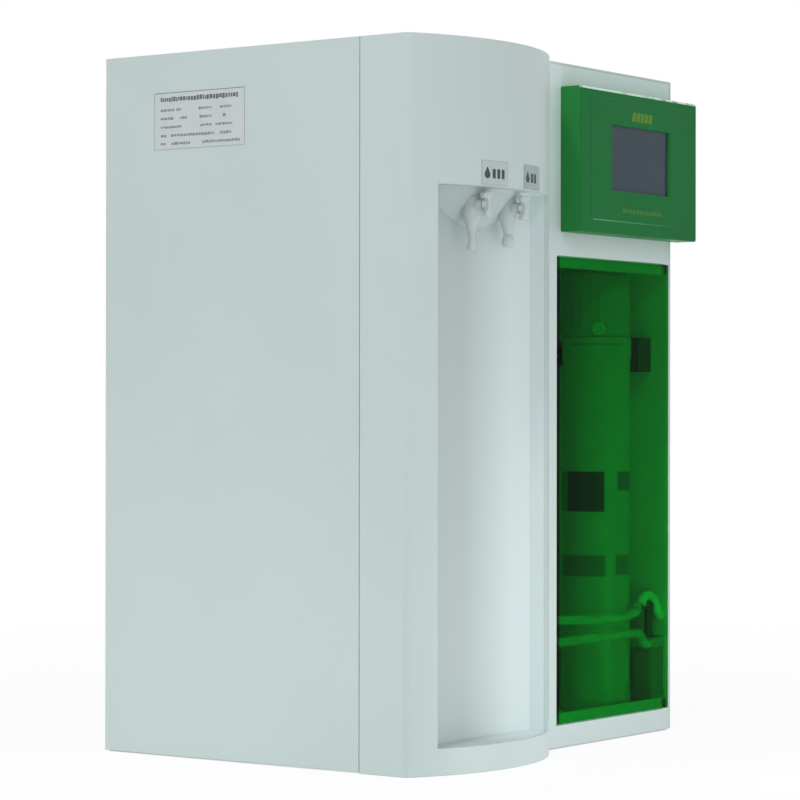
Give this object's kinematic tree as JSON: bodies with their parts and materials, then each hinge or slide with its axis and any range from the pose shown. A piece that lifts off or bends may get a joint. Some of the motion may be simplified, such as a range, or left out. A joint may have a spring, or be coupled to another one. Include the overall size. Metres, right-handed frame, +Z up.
{
  "type": "ultrapure water system",
  "caption": "Bench-top water purifier: pale cabinet with a bowed dispensing tower and two knob taps, a green display console and a tinted hinged door over the cartridge bay.",
  "frame": {"origin": "centre of the outline's box, on the bench plane under the base", "axes": "+X to the right seen from the front, +Y to the rear, +Z up; the taps, console and door face -Y"},
  "size_m": [0.443, 0.3624, 0.59],
  "materials": {
    "shell_white": "satin",
    "panel_white": "satin powder coat",
    "inner_sheet": "satin",
    "bare_steel": "satin",
    "uv_steel": "polished",
    "lamp_glass": "clear",
    "bright_steel": "plain",
    "console_green": "semi-gloss",
    "console_print": "flat",
    "screen_dark": "gloss",
    "module_metal": "satin",
    "board_green": "satin",
    "door_green": "tinted clear",
    "catch_black": "satin",
    "cartridge_white": "satin",
    "cartridge_cap": "satin",
    "label_grey": "printed film",
    "tap_plastic": "translucent",
    "tap_white": "gloss",
    "port_blue": "satin",
    "motor_paint": "satin",
    "pump_plastic": "satin",
    "rubber_black": "matt",
    "supply_metal": "perforated",
    "tube_clear": "clear",
    "wire_black": "satin"
  },
  "bodies": {
    "cabinet": {"base_pan": "bare_steel", "bay_lining": "inner_sheet", "booster_pump_feet": "rubber_black", "booster_pump_head": "pump_plastic", "booster_pump_motor": "motor_paint", "carbon_filter": "cartridge_white", "cartridge_clips": "catch_black", "conditioning_cartridge": "cartridge_white", "conductivity_cells": "pump_plastic", "console_back_plate": "bare_steel", "console_housing": "console_green", "console_marks": "console_print", "control_board": "board_green", "display_module": "module_metal", "display_window": "screen_dark", "door_hinge_blocks": "panel_white", "door_magnet_catch": "catch_black", "front_panel": "panel_white", "fuse_holder": "catch_black", "inner_brackets": "bare_steel", "left_side_panel": "panel_white", "lock_nuts": "tap_white", "mains_inlet": "catch_black", "mains_wiring": "wire_black", "membrane_end_caps": "cartridge_cap", "membrane_housing": "cartridge_white", "niche_liner": "shell_white", "panel_screws": "bright_steel", "partition": "bare_steel", "polishing_cartridge": "cartridge_white", "polishing_cartridge_head": "cartridge_cap", "power_supply": "supply_metal", "pressure_switch": "pump_plastic", "pump_elbow": "catch_black", "rating_plate": "label_grey", "rear_panel": "panel_white", "recirculation_pump": "catch_black", "relay_board": "board_green", "right_side_panel": "panel_white", "rocker_frame": "catch_black", "sediment_filter": "cartridge_white", "solenoid_valves": "pump_plastic", "tap_bodies": "tap_plastic", "tap_bracket": "bare_steel", "tap_labels": "label_grey", "tap_nozzles": "tap_plastic", "top_panel": "panel_white", "tower_shell": "shell_white", "uv_lamp": "lamp_glass", "uv_reactor": "uv_steel", "water_ports": "port_blue", "water_tubes": "tube_clear"},
    "door": {"door": "door_green", "door_hinge_pins": "bright_steel", "door_strike_plate": "bright_steel"},
    "tap_1_turning": {"tap_plug_1": "tap_white", "tap_handle_1": "tap_white"},
    "tap_2_turning": {"tap_plug_2": "tap_white", "tap_handle_2": "tap_white"},
    "rocker": {"power_rocker": "catch_black"}
  },
  "joints": [
    {"name": "door_hinge", "type": "hinge", "parent": "cabinet", "child": "door", "pos_m": [0.20245, -0.1374, 0.222], "axis": [0, 0, 1], "range_deg": [0, 110]},
    {"name": "tap_1_turn", "type": "hinge", "parent": "cabinet", "child": "tap_1_turning", "pos_m": [-0.13805, -0.1549, 0.4575], "axis": [0, -1, 0], "range_deg": [0, 90]},
    {"name": "tap_2_turn", "type": "hinge", "parent": "cabinet", "child": "tap_2_turning", "pos_m": [-0.08405, -0.1549, 0.4575], "axis": [0, -1, 0], "range_deg": [0, 90]},
    {"name": "power_switch", "type": "hinge", "parent": "cabinet", "child": "rocker", "pos_m": [0.13895, 0.1636, 0.11], "axis": [1, 0, 0], "range_deg": [0, 14]}
  ]
}
